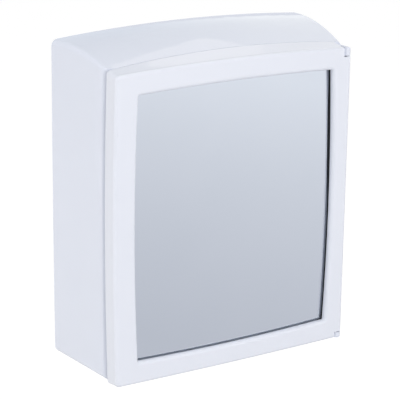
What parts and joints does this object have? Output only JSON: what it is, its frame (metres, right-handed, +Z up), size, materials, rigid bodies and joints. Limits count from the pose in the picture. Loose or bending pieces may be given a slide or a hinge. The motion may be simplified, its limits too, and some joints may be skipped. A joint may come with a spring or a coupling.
{
  "type": "wall cabinet",
  "caption": "Moulded plastic wall cabinet with an arched top, inner shelves and a framed mirror door on side pins, hung on keyholes in its back.",
  "frame": {"origin": "on the wall plane, midway between the entry holes of the two hanging keyholes", "axes": "+X to the right as seen from the room, +Y into the wall, +Z up"},
  "size_m": [0.3406, 0.1245, 0.3905],
  "materials": {
    "body_plastic": "polished moulding",
    "door_plastic": "polished moulding",
    "back_plastic": "plain moulding",
    "shelf_plastic": "polished moulding",
    "mirror": "silvered float glass",
    "gasket_foam": "closed-cell foam",
    "backing_board": "hardboard",
    "screw_steel": "zinc plated",
    "pin_steel": "drawn wire",
    "plate_steel": "zinc plated sheet",
    "catch_plastic": "fine texture",
    "magnet_ferrite": "sintered",
    "bumper_rubber": "translucent"
  },
  "bodies": {
    "cabinet": {"body_shell": "body_plastic", "back_panel": "back_plastic", "back_screws": "screw_steel", "lower_shelf": "shelf_plastic", "upper_shelf": "shelf_plastic", "upper_hinge_pin": "pin_steel", "lower_hinge_pin": "pin_steel", "catch_housing": "catch_plastic", "catch_magnet": "magnet_ferrite", "catch_pole_plates": "plate_steel", "catch_screws": "screw_steel", "door_bumpers": "bumper_rubber"},
    "door": {"door_frame": "door_plastic", "mirror_gasket": "gasket_foam", "mirror_glass": "mirror", "mirror_backing": "backing_board", "door_back_cover": "door_plastic", "cover_screws": "screw_steel", "striker_plate": "plate_steel", "striker_screws": "screw_steel"}
  },
  "joints": [
    {"name": "door_hinge", "type": "hinge", "parent": "cabinet", "child": "door", "pos_m": [0.1535, -0.12, -0.135], "axis": [0, 0, 1], "range_deg": [0, 120]}
  ]
}
